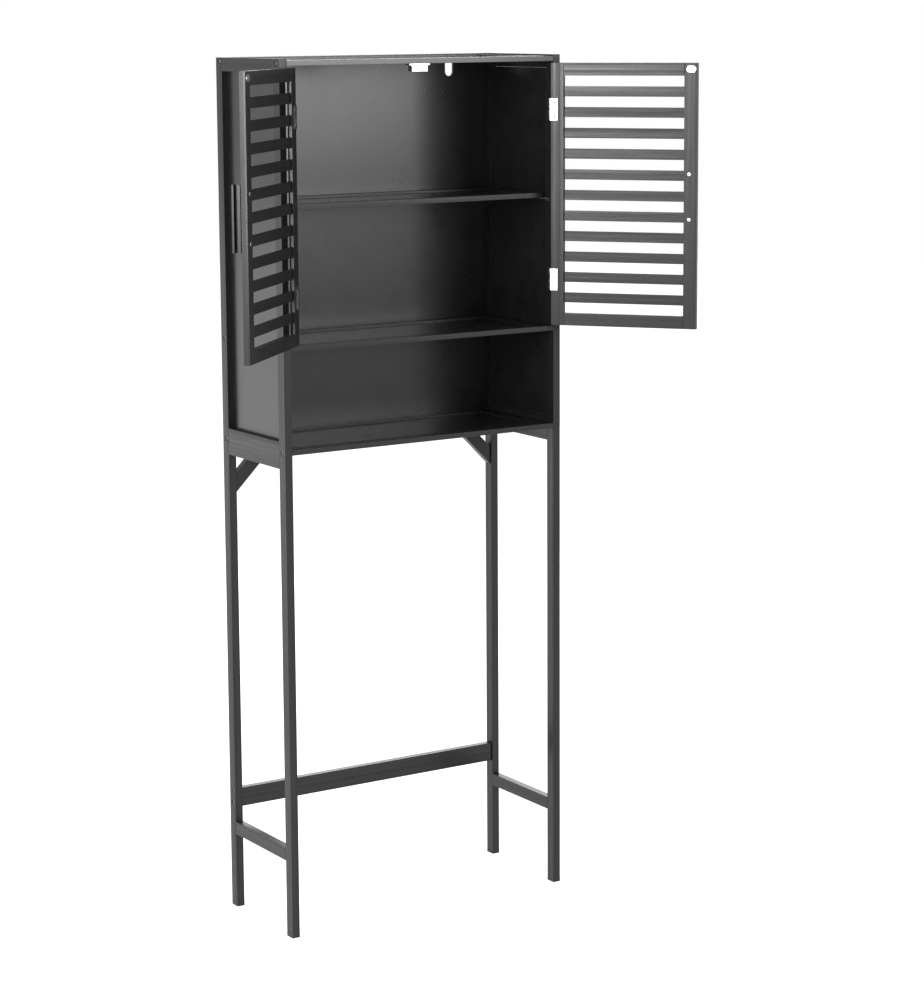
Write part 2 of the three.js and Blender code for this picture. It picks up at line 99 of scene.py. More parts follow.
# %% [markdown]
# ## The camera
#
# The rack is seen from its front left, about level with its top, through a long lens from five
# metres away. A long lens keeps the legs nearly parallel, as a furniture picture does. The
# camera's aim is built from three angles: how far it turns to the right, how far it tips down,
# and a very small roll. Looking down a little makes the frame lean, so part of the framing is
# done by shifting the sensor instead of tipping more.

# %% Set the camera up
CAMERA_SPOT = (-2735.015, -4392.303, 1779.699)
TURN_RIGHT = math.radians(32.669)
TIP_DOWN = math.radians(8.690)
ROLL = math.radians(-0.340)
SENSOR_MM = 36.0
LENS_MM = 96.89
SENSOR_SHIFT = -0.08

forward = Vector((
    math.sin(TURN_RIGHT) * math.cos(TIP_DOWN),
    math.cos(TURN_RIGHT) * math.cos(TIP_DOWN),
    -math.sin(TIP_DOWN),
))
level_right = Vector((math.cos(TURN_RIGHT), -math.sin(TURN_RIGHT), 0.0))
level_up = level_right.cross(forward)
right = level_right * math.cos(ROLL) + level_up * math.sin(ROLL)
up = level_up * math.cos(ROLL) - level_right * math.sin(ROLL)

lens = bpy.data.cameras.new("camera")
lens.sensor_width = SENSOR_MM
lens.lens = LENS_MM
lens.shift_y = SENSOR_SHIFT
lens.clip_start = 0.1
lens.clip_end = 100.0
lens.dof.use_dof = False
camera = bpy.data.objects.new("camera", lens)
bpy.context.scene.collection.objects.link(camera)
aim = Matrix((right, up, -forward)).transposed().to_4x4()
camera.matrix_world = Matrix.Translation(place(*CAMERA_SPOT)) @ aim
bpy.context.scene.camera = camera
print("camera at", [round(v, 3) for v in camera.location], "lens", LENS_MM, "mm")

# %% [markdown]
# ## Colours and nodes
#
# Paint colours are easiest to pick as the sRGB hex values a screen shows, but light adds up in
# linear values, so one function turns the first into the second. A second small function adds
# a node, sets it up and connects it, which keeps each material's recipe short enough to read.

# %% Two helpers for materials
def linear(colour):
    """An sRGB hex colour such as "#1c1c1b" as linear red, green, blue and alpha."""
    parts = [int(colour[i:i + 2], 16) / 255 for i in (1, 3, 5)]
    lit = [p / 12.92 if p <= 0.04045 else ((p + 0.055) / 1.055) ** 2.4 for p in parts]
    return (*lit, 1.0)


def add(tree, kind, inputs=None, **settings):
    """Adds one node. Each input is a plain value or another node's output socket."""
    node = tree.nodes.new(kind)
    for name, value in settings.items():
        setattr(node, name, value)
    for socket, value in (inputs or {}).items():
        if isinstance(value, bpy.types.NodeSocket):
            tree.links.new(value, node.inputs[socket])
        else:
            node.inputs[socket].default_value = value
    return node


def new_material(name):
    """An empty material with a Principled shader joined to its output."""
    material = bpy.data.materials.new(name)
    material.use_nodes = True
    tree = material.node_tree
    tree.nodes.clear()
    shader = add(tree, "ShaderNodeBsdfPrincipled")
    add(tree, "ShaderNodeOutputMaterial", {"Surface": shader.outputs["BSDF"]})
    return material, tree, shader


print("white paper is", [round(v, 3) for v in linear("#ffffff")])

# %% [markdown]
# ## Painted bamboo
#
# The posts, rails, slats and shelf frames are glued up from bamboo strips about 5 mm wide, sanded
# and sprayed with a black satin lacquer. To the eye it is nearly black, a shade lighter where
# it faces a bright part of the room, because the lacquer mirrors that softly. Fibres under the
# paint show as fine streaks along the length. Each strip takes the paint a touch differently.
#
# The recipe works in the board's own directions: along the grain, across it and through it. A
# mapping node turns the object's coordinates into those, so one recipe serves every board.
# Long stretched noise makes the streaks, a random value per strip makes the strips, and both
# feed the colour, the roughness and a shallow bump.
#
# A plain lacquer has an IOR of about 1.5. This one is matted, so it mirrors less: its IOR and
# its specular level are both set lower.
#
# Real fibre streaks are about 0.4 mm wide, too fine for a picture of the whole rack. They are
# drawn at 1.1 mm, with a second, broader layer at 3.5 mm that can be seen from far away.

# %% The painted bamboo recipe
STRIP_WIDE = 5.0 * MM
FINE_STREAK = 1.1 * MM
BROAD_STREAK = 3.5 * MM
STREAK_STRETCH = 45.0
BAMBOO_DARK = "#0d0d0c"
BAMBOO_LIGHT = "#1c1c1b"
LACQUER_IOR = 1.40
LACQUER_SPECULAR = 0.38


def painted_bamboo(name, along, across):
    """Black lacquered bamboo whose fibres run along one direction, with strips laid across."""
    material, tree, shader = new_material(name)
    grain = Vector(along).normalized()
    side = Vector(across).normalized()
    to_board = Matrix((grain, side, grain.cross(side)))
    coordinates = add(tree, "ShaderNodeTexCoord")
    board = add(tree, "ShaderNodeMapping", {
        "Vector": coordinates.outputs["Object"],
        "Rotation": to_board.to_euler("XYZ"),
    })

    fine_space = add(tree, "ShaderNodeMapping", {
        "Vector": board.outputs["Vector"],
        "Scale": (1 / (FINE_STREAK * STREAK_STRETCH), 1 / FINE_STREAK, 1 / FINE_STREAK),
    })
    fine = add(tree, "ShaderNodeTexNoise", {
        "Vector": fine_space.outputs["Vector"],
        "Scale": 1.0,
        "Detail": 3.0,
        "Roughness": 0.6,
        "Distortion": 0.2,
    })
    broad_space = add(tree, "ShaderNodeMapping", {
        "Vector": board.outputs["Vector"],
        "Scale": (1 / (BROAD_STREAK * STREAK_STRETCH), 1 / BROAD_STREAK, 1 / BROAD_STREAK),
    })
    broad = add(tree, "ShaderNodeTexNoise", {
        "Vector": broad_space.outputs["Vector"],
        "Scale": 1.0,
        "Detail": 2.0,
        "Roughness": 0.5,
    })

    parts = add(tree, "ShaderNodeSeparateXYZ", {"Vector": board.outputs["Vector"]})
    strips_wide = add(tree, "ShaderNodeMath", {
        0: parts.outputs["Y"], 1: STRIP_WIDE,
    }, operation="DIVIDE")
    strips_deep = add(tree, "ShaderNodeMath", {
        0: parts.outputs["Z"], 1: STRIP_WIDE,
    }, operation="DIVIDE")
    row = add(tree, "ShaderNodeMath", {0: strips_wide.outputs[0]}, operation="FLOOR")
    layer = add(tree, "ShaderNodeMath", {0: strips_deep.outputs[0]}, operation="FLOOR")
    strip = add(tree, "ShaderNodeCombineXYZ", {"X": row.outputs[0], "Y": layer.outputs[0]})
    strip_tone = add(tree, "ShaderNodeTexWhiteNoise", {"Vector": strip.outputs[0]})

    streaks = add(tree, "ShaderNodeMix", {
        "Factor": 0.5, "A": fine.outputs["Fac"], "B": broad.outputs["Fac"],
    }, data_type="FLOAT")
    tone = add(tree, "ShaderNodeMix", {
        "Factor": 0.3, "A": streaks.outputs[0], "B": strip_tone.outputs["Value"],
    }, data_type="FLOAT")
    colour = add(tree, "ShaderNodeValToRGB", {"Fac": tone.outputs[0]})
    colour.color_ramp.elements[0].position = 0.30
    colour.color_ramp.elements[0].color = linear(BAMBOO_DARK)
    colour.color_ramp.elements[1].position = 0.72
    colour.color_ramp.elements[1].color = linear(BAMBOO_LIGHT)
    tree.links.new(colour.outputs["Color"], shader.inputs["Base Color"])

    gloss = add(tree, "ShaderNodeMapRange", {
        "Value": tone.outputs[0],
        "From Min": 0.30, "From Max": 0.70, "To Min": 0.46, "To Max": 0.26,
    })
    tree.links.new(gloss.outputs["Result"], shader.inputs["Roughness"])
    relief = add(tree, "ShaderNodeBump", {
        "Height": streaks.outputs[0], "Strength": 0.55, "Distance": 0.35 * MM,
    })
    tree.links.new(relief.outputs["Normal"], shader.inputs["Normal"])
    shader.inputs["IOR"].default_value = LACQUER_IOR
    shader.inputs["Specular IOR Level"].default_value = LACQUER_SPECULAR
    return material


UP = Vector((0, 0, 1))
SIDEWAYS = Vector((1, 0, 0))
BACKWARDS = Vector((0, 1, 0))
bamboo_upright = painted_bamboo("painted_bamboo_upright", UP, SIDEWAYS)
bamboo_across = painted_bamboo("painted_bamboo_across", SIDEWAYS, UP)
bamboo_front_to_back = painted_bamboo("painted_bamboo_front_to_back", BACKWARDS, UP)
bamboo_left_brace = painted_bamboo("painted_bamboo_left_brace", UP + SIDEWAYS, UP - SIDEWAYS)
bamboo_right_brace = painted_bamboo("painted_bamboo_right_brace", UP - SIDEWAYS, UP + SIDEWAYS)
print("painted bamboo in five directions")

# %% [markdown]
# ## How the doors stand
#
# Both doors are modelled open, as they stand in use. Screws and grain are easier to think of
# with the doors shut, so this cell works out, from each hinge's own range, the turn that takes
# a shut door to where it stands now. A point measured on the shut door is placed by that turn.
# The left door is shut at the top of its hinge's range and the right door at the bottom.

# %% From a shut door to an open one
hinges = {j["name"]: j for j in frame["joints"]}


def opening(joint_name, shut_limit):
    """The move that takes a shut door to its resting place, from the hinge's own range."""
    joint = hinges[joint_name]
    turn = -math.radians(joint["range_deg"][shut_limit])
    pin = Vector(joint["pos_m"])
    swing = Matrix.Rotation(turn, 4, "Z")
    return Matrix.Translation(pin) @ swing @ Matrix.Translation(-pin), swing.to_3x3()


RANGE_BOTTOM = 0
RANGE_TOP = 1
open_left, turn_left = opening("left_door_hinge", RANGE_TOP)
open_right, turn_right = opening("right_door_hinge", RANGE_BOTTOM)
DOORS = {"left": (open_left, turn_left, -1), "right": (open_right, turn_right, 1)}

for side, (_, turn, _) in DOORS.items():
    angle = math.degrees(math.atan2(turn[1][0], turn[0][0]))
    print(side, "door stands open at", round(angle, 1), "degrees")

bamboo_left_door = painted_bamboo("painted_bamboo_left_door", turn_left @ SIDEWAYS, UP)
bamboo_right_door = painted_bamboo("painted_bamboo_right_door", turn_right @ SIDEWAYS, UP)
bamboo_left_door_upright = painted_bamboo(
    "painted_bamboo_left_door_upright", UP, turn_left @ SIDEWAYS
)
bamboo_right_door_upright = painted_bamboo(
    "painted_bamboo_right_door_upright", UP, turn_right @ SIDEWAYS
)

# %% [markdown]
# ## Painted fibreboard
#
# The cabinet's sides, back, top and shelf boards are thin fibreboard with the same black paint.
# There is no grain to show through, so it looks smoother and glossier than the bamboo, with
# the fine orange peel that a spray gun leaves, about 2 mm across, and a very slight waviness
# over a hand's width, because thin board is never quite flat. A little of the roller or spray
# pass shows as cloudy patches of sheen.

# %% The painted fibreboard recipe
PEEL_WIDE = 2.2 * MM
WAVE_WIDE = 90.0 * MM
CLOUD_WIDE = 45.0 * MM
BOARD_DARK = "#101010"
BOARD_LIGHT = "#171717"
BOARD_IOR = 1.45


def painted_fibreboard(name):
    """Smooth sprayed board: orange peel, slight waves and cloudy sheen."""
    material, tree, shader = new_material(name)
    coordinates = add(tree, "ShaderNodeTexCoord")
    peel = add(tree, "ShaderNodeTexNoise", {
        "Vector": coordinates.outputs["Object"],
        "Scale": 1 / PEEL_WIDE, "Detail": 2.0, "Roughness": 0.45,
    })
    wave = add(tree, "ShaderNodeTexNoise", {
        "Vector": coordinates.outputs["Object"],
        "Scale": 1 / WAVE_WIDE, "Detail": 1.0,
    })
    cloud = add(tree, "ShaderNodeTexNoise", {
        "Vector": coordinates.outputs["Object"],
        "Scale": 1 / CLOUD_WIDE, "Detail": 4.0, "Roughness": 0.6,
    })
    colour = add(tree, "ShaderNodeValToRGB", {"Fac": cloud.outputs["Fac"]})
    colour.color_ramp.elements[0].position = 0.35
    colour.color_ramp.elements[0].color = linear(BOARD_DARK)
    colour.color_ramp.elements[1].position = 0.70
    colour.color_ramp.elements[1].color = linear(BOARD_LIGHT)
    tree.links.new(colour.outputs["Color"], shader.inputs["Base Color"])
    gloss = add(tree, "ShaderNodeMapRange", {
        "Value": cloud.outputs["Fac"],
        "From Min": 0.3, "From Max": 0.7, "To Min": 0.27, "To Max": 0.29,
    })
    tree.links.new(gloss.outputs["Result"], shader.inputs["Roughness"])
    waves = add(tree, "ShaderNodeBump", {
        "Height": wave.outputs["Fac"], "Strength": 0.10, "Distance": 1.0 * MM,
    })
    relief = add(tree, "ShaderNodeBump", {
        "Height": peel.outputs["Fac"], "Strength": 0.12, "Distance": 0.2 * MM,
        "Normal": waves.outputs["Normal"],
    })
    tree.links.new(relief.outputs["Normal"], shader.inputs["Normal"])
    shader.inputs["IOR"].default_value = BOARD_IOR
    return material


fibreboard = painted_fibreboard("painted_fibreboard")
print("painted fibreboard ready")

# %% [markdown]
# ## The metals
#
# The hinges, bolts, strike plates and shelf supports are steel with bright nickel plating. A
# metal keeps the default IOR, and its look comes from its base colour and roughness. Nickel is
# a slightly warm light grey. Rolled sheet keeps fine lines under the plating, so a
# stretched noise varies the roughness. The bottom of a screw's deep recess is in shadow, and
# the recesses here are shallow, so it uses the same recipe with nearly black colours instead.
#
# The door handles are long pulls with a finger groove. Their black stoved finish is a
# dielectric film with an IOR of 1.5. Its specular level is low, because in a strong side light
# a fully glossy film would turn the lips of the groove white.

# %% Nickel plated steel and black stoved steel
ROLLING_LINE_WIDE = 0.6 * MM
ROLLING_LINE_LONG = 14.0 * MM
SMEAR_WIDE = 9.0 * MM
PEBBLE_WIDE = 0.8 * MM
PATCH_WIDE = 12.0 * MM
ENAMEL_DARK = "#121213"
ENAMEL_LIGHT = "#1d1d1f"
ENAMEL_IOR = 1.5
ENAMEL_SPECULAR = 0.22


def plated_steel(name, colour, smooth, dull):
    """Bright plating over rolled steel, with fine rolling lines and faint smears."""
    material, tree, shader = new_material(name)
    coordinates = add(tree, "ShaderNodeTexCoord")
    stretched = add(tree, "ShaderNodeMapping", {
        "Vector": coordinates.outputs["Object"],
        "Scale": (1 / ROLLING_LINE_WIDE, 1 / ROLLING_LINE_WIDE, 1 / ROLLING_LINE_LONG),
    })
    lines = add(tree, "ShaderNodeTexNoise", {
        "Vector": stretched.outputs["Vector"], "Scale": 1.0, "Detail": 3.0,
    })
    smears = add(tree, "ShaderNodeTexNoise", {
        "Vector": coordinates.outputs["Object"], "Scale": 1 / SMEAR_WIDE, "Detail": 2.0,
    })
    mixed = add(tree, "ShaderNodeMix", {
        "Factor": 0.5, "A": lines.outputs["Fac"], "B": smears.outputs["Fac"],
    }, data_type="FLOAT")
    gloss = add(tree, "ShaderNodeMapRange", {
        "Value": mixed.outputs[0],
        "From Min": 0.35, "From Max": 0.65, "To Min": smooth, "To Max": dull,
    })
    tint = add(tree, "ShaderNodeValToRGB", {"Fac": smears.outputs["Fac"]})
    tint.color_ramp.elements[0].position = 0.3
    tint.color_ramp.elements[0].color = linear(colour[0])
    tint.color_ramp.elements[1].position = 0.7
    tint.color_ramp.elements[1].color = linear(colour[1])
    relief = add(tree, "ShaderNodeBump", {
        "Height": lines.outputs["Fac"], "Strength": 0.08, "Distance": 0.05 * MM,
    })
    tree.links.new(tint.outputs["Color"], shader.inputs["Base Color"])
    tree.links.new(gloss.outputs["Result"], shader.inputs["Roughness"])
    tree.links.new(relief.outputs["Normal"], shader.inputs["Normal"])
    shader.inputs["Metallic"].default_value = 1.0
    return material


def stoved_steel(name):
    """Black baked enamel on steel, with a very fine pebble."""
    material, tree, shader = new_material(name)
    coordinates = add(tree, "ShaderNodeTexCoord")
    pebble = add(tree, "ShaderNodeTexNoise", {
        "Vector": coordinates.outputs["Object"], "Scale": 1 / PEBBLE_WIDE, "Detail": 2.0,
    })
    patches = add(tree, "ShaderNodeTexNoise", {
        "Vector": coordinates.outputs["Object"], "Scale": 1 / PATCH_WIDE, "Detail": 3.0,
    })
    gloss = add(tree, "ShaderNodeMapRange", {
        "Value": patches.outputs["Fac"],
        "From Min": 0.3, "From Max": 0.7, "To Min": 0.26, "To Max": 0.34,
    })
    tint = add(tree, "ShaderNodeValToRGB", {"Fac": patches.outputs["Fac"]})
    tint.color_ramp.elements[0].color = linear(ENAMEL_DARK)
    tint.color_ramp.elements[1].color = linear(ENAMEL_LIGHT)
    relief = add(tree, "ShaderNodeBump", {
        "Height": pebble.outputs["Fac"], "Strength": 0.10, "Distance": 0.1 * MM,
    })
    tree.links.new(tint.outputs["Color"], shader.inputs["Base Color"])
    tree.links.new(gloss.outputs["Result"], shader.inputs["Roughness"])
    tree.links.new(relief.outputs["Normal"], shader.inputs["Normal"])
    shader.inputs["IOR"].default_value = ENAMEL_IOR
    shader.inputs["Specular IOR Level"].default_value = ENAMEL_SPECULAR
    return material


nickel = plated_steel("nickel_plated_steel", ("#a9a8a4", "#c2c1bd"), 0.24, 0.38)
# painted shade: nearly black colours on the floors of the screws' recesses stand in for the
# shadow in a deep recess
painted_recess_shade = plated_steel("painted_recess_shade", ("#141414", "#1d1d1c"), 0.55, 0.65)
black_steel = stoved_steel("black_stoved_steel")
print("metals ready")

# %% [markdown]
# ## Dressing the CAD parts
#
# The CAD solids have knife-sharp edges. Real boards are sanded before they are painted, so each
# edge is rounded by about 0.5 mm, and that small round is what catches a thin line of light.
# Sheet metal is rounded less. A CAD part's own mesh is never edited. It gets modifiers
# instead: a weld, because the imported faces are not joined to each other, and then a bevel on
# every edge sharper than 30 degrees, with normals weighted so that flat faces stay flat.

# %% Soften the edges and assign the finishes
WOOD_ROUND = 0.5 * MM
PANEL_ROUND = 0.35 * MM
METAL_ROUND = 0.22 * MM
ROUND_SEGMENTS = 2
WELD_WITHIN = 0.01 * MM
SHARP_FROM = math.radians(30)


def soften(part, radius):
    """Rounds a CAD part's edges with modifiers and leaves its mesh alone."""
    weld = part.modifiers.new("weld", "WELD")
    weld.merge_threshold = WELD_WITHIN
    bevel = part.modifiers.new("round the edges", "BEVEL")
    bevel.width = radius
    bevel.segments = ROUND_SEGMENTS
    bevel.limit_method = "ANGLE"
    bevel.angle_limit = SHARP_FROM
    bevel.use_clamp_overlap = True
    bevel.harden_normals = False
    weighted = part.modifiers.new("even shading", "WEIGHTED_NORMAL")
    weighted.keep_sharp = False


def finish_for(name):
    """The material and edge rounding for a CAD part, from its name."""
    if "hinge_stile" in name or "free_stile" in name:
        door = bamboo_left_door_upright if name.startswith("left") else bamboo_right_door_upright
        return door, WOOD_ROUND
    if "_door_" in name and "hinge" not in name:
        return (bamboo_left_door if name.startswith("left") else bamboo_right_door), WOOD_ROUND
    if "brace" in name:
        return (bamboo_left_brace if name.startswith("left") else bamboo_right_brace), WOOD_ROUND
    if "shelf_support" in name or "hinge" in name or "strike" in name or "catch" in name:
        return nickel, METAL_ROUND
    if "handle" in name:
        return black_steel, METAL_ROUND
    if "panel" in name or "board" in name:
        return fibreboard, PANEL_ROUND
    if "shelf_frame" in name or name == "back_stretcher":
        return bamboo_across, WOOD_ROUND
    if "rail" in name or "stretcher" in name:
        return bamboo_front_to_back, WOOD_ROUND
    return bamboo_upright, WOOD_ROUND


finish_count = {}
for name, part in frame["nodes"].items():
    material, radius = finish_for(name)
    for slot_number in range(len(part.material_slots)):
        part.material_slots[slot_number].link = "OBJECT"
        part.material_slots[slot_number].material = material
    soften(part, radius)
    finish_count[material.name] = finish_count.get(material.name, 0) + 1
print("finishes:", finish_count)

# %% [markdown]
# ## Turned screw heads
#
# Every fastener is a small turned part: a profile spun round its axis, with a hexagon or a
# cross pressed into its top. It can be built ring by ring. Each ring has a height and a
# function that gives its radius at every angle, so a ring can be a circle, a hexagon or a
# cross. Joining neighbouring rings with quads gives the head, its edge and its recess in one
# closed surface. A set of fasteners that belong together becomes one piece.

# %% Rings, hexagons and crosses
HEAD_SIDES = 48


def round_ring(radius):
    """A circle's edge, which is the same at every angle."""
    return lambda angle: radius


def hex_ring(across_flats):
    """A hexagon's edge at an angle, from its distance across flats."""
    def edge(angle):
        turned = (angle % math.radians(60)) - math.radians(30)
        return across_flats / 2 / math.cos(turned)
    return edge


def cross_ring(arm_long, arm_wide):
    """The edge of a cross-shaped recess at an angle."""
    def edge(angle):
        turned = (angle + math.radians(45)) % math.radians(90) - math.radians(45)
        end = arm_long / 2 / math.cos(turned)
        flank = arm_wide / 2 / max(abs(math.sin(turned)), 1e-6)
        return min(end, flank)
    return edge


def turned(mesh, rings, seat, recess_from=None):
    """Adds one turned part. rings are (height in mm, edge), seat takes +Z to the part's axis.

    The faces from ring number recess_from on take the second material, the nearly black painted
    shade of the recess.
    """
    loops = []
    for height, edge in rings:
        loop = []
        for i in range(HEAD_SIDES):
            angle = 2 * math.pi * i / HEAD_SIDES
            r = edge(angle) * MM
            at = Vector((r * math.cos(angle), r * math.sin(angle), height * MM))
            loop.append(mesh.verts.new(seat @ at))
        loops.append(loop)
    for number, (a, b) in enumerate(zip(loops, loops[1:])):
        for i in range(HEAD_SIDES):
            j = (i + 1) % HEAD_SIDES
            face = mesh.faces.new((a[i], a[j], b[j], b[i]))
            face.smooth = True
            if recess_from is not None and number >= recess_from:
                face.material_index = 1
    mesh.faces.new(list(reversed(loops[0])))
    floor_face = mesh.faces.new(loops[-1])
    if recess_from is not None:
        floor_face.material_index = 1


def seat_at(point, axis, spin=0.0):
    """The transform that stands a turned part on a point, facing along an axis."""
    facing = Vector(axis).normalized().to_track_quat("Z", "Y").to_matrix().to_4x4()
    return Matrix.Translation(point) @ facing @ Matrix.Rotation(spin, 4, "Z")


def make_piece(name, body, materials, build):
    """A new piece: build fills a bmesh, and the piece rides on a body of the rack."""
    mesh = bmesh.new()
    build(mesh)
    bmesh.ops.recalc_face_normals(mesh, faces=mesh.faces)
    data = bpy.data.meshes.new(name)
    mesh.to_mesh(data)
    mesh.free()
    piece = bpy.data.objects.new(name, data)
    bpy.context.scene.collection.objects.link(piece)
    for material in materials:
        data.materials.append(material)
    weighted = piece.modifiers.new("even shading", "WEIGHTED_NORMAL")
    weighted.keep_sharp = True
    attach(piece, body)
    print(name, len(data.polygons), "faces on", body)


# %% [markdown]
# ## Cabinet bolts
#
# The shelves and the top are held by furniture bolts through the posts. Their heads sit in
# counterbored holes: a flat cap 7.8 mm across with a 4 mm hexagon socket, 1.6 mm below
# the surface, so each one is a bright disc in a dark ring. There are three on each edge of
# each side, at the top, at the fixed shelf and at the bottom shelf. The rings go up the cap's
# edge, in across its face and then down into the socket.

# %% Six bolts in each side of the cabinet
BOLT_RINGS = [
    (-2.5, round_ring(3.7)),
    (-0.45, round_ring(3.9)),
    (-0.12, round_ring(3.78)),
    (0.0, round_ring(3.5)),
    (0.0, hex_ring(4.3)),
    (-0.2, hex_ring(4.0)),
    (-2.2, hex_ring(3.9)),
]
BOLT_SUNK = 1.6
FRONT_BOLT_DEPTH = 13.0
BACK_BOLT_FROM_BACK = 14.0
rack_back = (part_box("left_back_stile")[1].y - FRONT_Y) / MM
half_wide = RACK_WIDE / 2 / MM
random.seed(7)


def middle_height(node):
    low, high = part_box(node)
    return (low.z + high.z) / 2 / MM


bolt_heights = [
    middle_height("top_panel"),
    middle_height("fixed_shelf_frame"),
    middle_height("bottom_shelf_frame"),
]
bolt_depths = [FRONT_BOLT_DEPTH, rack_back - BACK_BOLT_FROM_BACK]

for side, (_, _, sign) in DOORS.items():
    def side_bolts(mesh, sign=sign):
        for height in bolt_heights:
            for depth in bolt_depths:
                spot = place(sign * (half_wide - BOLT_SUNK), depth, height)
                seat = seat_at(spot, (sign, 0, 0), random.uniform(0, math.pi))
                turned(mesh, BOLT_RINGS, seat)
    make_piece(side + "_side_bolts", "rack", [nickel], side_bolts)
print("bolt heights", [round(h, 1) for h in bolt_heights], "depths", bolt_depths)

# %% [markdown]
# The back stretcher hangs between the back legs on two of the same bolts at each end, one above
# the other. They are in the outer faces of the legs.

# %% Two bolts in each back leg
LEG_BOLT_SPACING = 21.0
stretcher_low, stretcher_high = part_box("back_stretcher")
stretcher_middle = (stretcher_low.z + stretcher_high.z) / 2 / MM
stretcher_depth = ((stretcher_low.y + stretcher_high.y) / 2 - FRONT_Y) / MM

for side, (_, _, sign) in DOORS.items():
    def leg_bolts(mesh, sign=sign):
        for step in (-0.5, 0.5):
            height = stretcher_middle + step * LEG_BOLT_SPACING
            spot = place(sign * (half_wide - BOLT_SUNK), stretcher_depth, height)
            turned(mesh, BOLT_RINGS, seat_at(spot, (sign, 0, 0), random.uniform(0, math.pi)))
    make_piece(side + "_leg_bolts", "rack", [nickel], leg_bolts)

# %% [markdown]
# ## Hinge screws
#
# Each leaf of the four small hinges is held by two countersunk screws, 27 mm apart. A
# countersunk head is almost flush, so it stands only a seventh of a millimetre proud, and it
# has to: with the door shut the two leaves lie a quarter of a millimetre apart. The plate
# under it is solid, so the cross cannot go deep. Its floor is nearly black instead, like the
# shadow in a real recess.

# %% Countersunk screws in the hinge leaves
FLAT_SCREW_RINGS = [
    (0.01, round_ring(2.75)),
    (0.07, round_ring(2.7)),
    (0.13, round_ring(2.35)),
    (0.14, cross_ring(3.3, 0.95)),
    (0.04, cross_ring(2.9, 0.75)),
]
RECESS_STARTS = 3
HINGE_SCREW_SPACING = 27.0
SIDE_SCREW_DEPTH = 11.5
LEAF_THICK = 1.0
LEVELS = ("upper", "lower")

for side, (_, _, sign) in DOORS.items():
    leaf_boxes = [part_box(f"{side}_{level}_hinge_side_leaf") for level in LEVELS]
    leaf_middles = [(low.z + high.z) / 2 / MM for low, high in leaf_boxes]
    wall_x = leaf_boxes[0][0].x if sign < 0 else leaf_boxes[0][1].x
    face_x = (wall_x - MIDDLE_X) / MM - sign * LEAF_THICK

    def side_leaf_screws(mesh):
        for middle in leaf_middles:
            for step in (-0.5, 0.5):
                spot = place(face_x, SIDE_SCREW_DEPTH, middle + step * HINGE_SCREW_SPACING)
                seat = seat_at(spot, (-sign, 0, 0), random.uniform(0, math.pi))
                turned(mesh, FLAT_SCREW_RINGS, seat, RECESS_STARTS)

    make_piece(
        side + "_hinge_side_screws", "rack",
        [nickel, painted_recess_shade], side_leaf_screws,
    )

# %% [markdown]
# The door leaf lies on the door's inner face, which is the side that is hidden when the door is
# shut. Its screws are measured on the shut door and carried round with it by the opening move.
# The leaf stands a little off the wood, so its face is measured from the leaf itself.

# %% Countersunk screws in the door leaves
DOOR_BACK = 13.0
DOOR_EDGE = 296.25


def inner_face(node, to_open):
    """How deep a plate's inner face lies when its door is shut, in mm."""
    part = frame["nodes"][node]
    to_shut = to_open.inverted() @ part.matrix_world
    return (max((to_shut @ v.co).y for v in part.data.vertices) - FRONT_Y) / MM


DOOR_SCREW_FROM_EDGE = 8.5

for side, (to_open, _, sign) in DOORS.items():
    leaf_boxes = [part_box(f"{side}_{level}_hinge_door_leaf") for level in LEVELS]
    leaf_middles = [(low.z + high.z) / 2 / MM for low, high in leaf_boxes]
    leaf_face = inner_face(f"{side}_upper_hinge_door_leaf", to_open)
    print(side, "door leaf's face is", round(leaf_face, 3), "mm behind the front")

    def door_leaf_screws(mesh):
        for middle in leaf_middles:
            for step in (-0.5, 0.5):
                spot = place(
                    sign * (DOOR_EDGE - DOOR_SCREW_FROM_EDGE),
                    leaf_face,
                    middle + step * HINGE_SCREW_SPACING,
                )
                seat = to_open @ seat_at(spot, (0, 1, 0), random.uniform(0, math.pi))
                turned(mesh, FLAT_SCREW_RINGS, seat, RECESS_STARTS)

    make_piece(
        side + "_hinge_door_screws", side + "_door",
        [nickel, painted_recess_shade], door_leaf_screws,
    )

# %% [markdown]
# ## Handle screws
#
# Each handle is held from inside the door by two wafer-head screws, 88 mm apart and 16 mm from
# the door's free edge. A wafer head is a flat disc 7 mm across, half a millimetre thick, with
# a cross in it. It mirrors what the door mirrors, so it is bright where the door is bright.

# %% Wafer-head screws behind the handles
WAFER_RINGS = [
    (-0.05, round_ring(3.5)),
    (0.25, round_ring(3.5)),
    (0.45, round_ring(3.3)),
    (0.55, round_ring(2.9)),
    (0.56, cross_ring(3.9, 1.1)),
    (0.10, cross_ring(3.2, 0.8)),
]
HANDLE_SCREW_REACH = 44.0
HANDLE_FROM_FREE_EDGE = 16.0
GAP_BETWEEN_DOORS = 1.5

for side, (to_open, _, sign) in DOORS.items():
    handle_low, handle_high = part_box(side + "_handle")
    handle_middle = (handle_low.z + handle_high.z) / 2 / MM

    def handle_screws(mesh):
        for step in (-1, 1):
            spot = place(
                sign * (GAP_BETWEEN_DOORS / 2 + HANDLE_FROM_FREE_EDGE),
                DOOR_BACK,
                handle_middle + step * HANDLE_SCREW_REACH,
            )
            seat = to_open @ seat_at(spot, (0, 1, 0), random.uniform(0, math.pi))
            turned(mesh, WAFER_RINGS, seat, RECESS_STARTS + 1)

    make_piece(
        side + "_handle_screws", side + "_door",
        [nickel, painted_recess_shade], handle_screws,
    )

# %% [markdown]
# ## Strike plates
#
# A double magnetic catch sits under the top panel, and it is left as the CAD solid in nickel
# plate. The matching strike plate on each door is a small steel oval with one countersunk
# screw in its middle, turned from the same rings as the hinge screws.

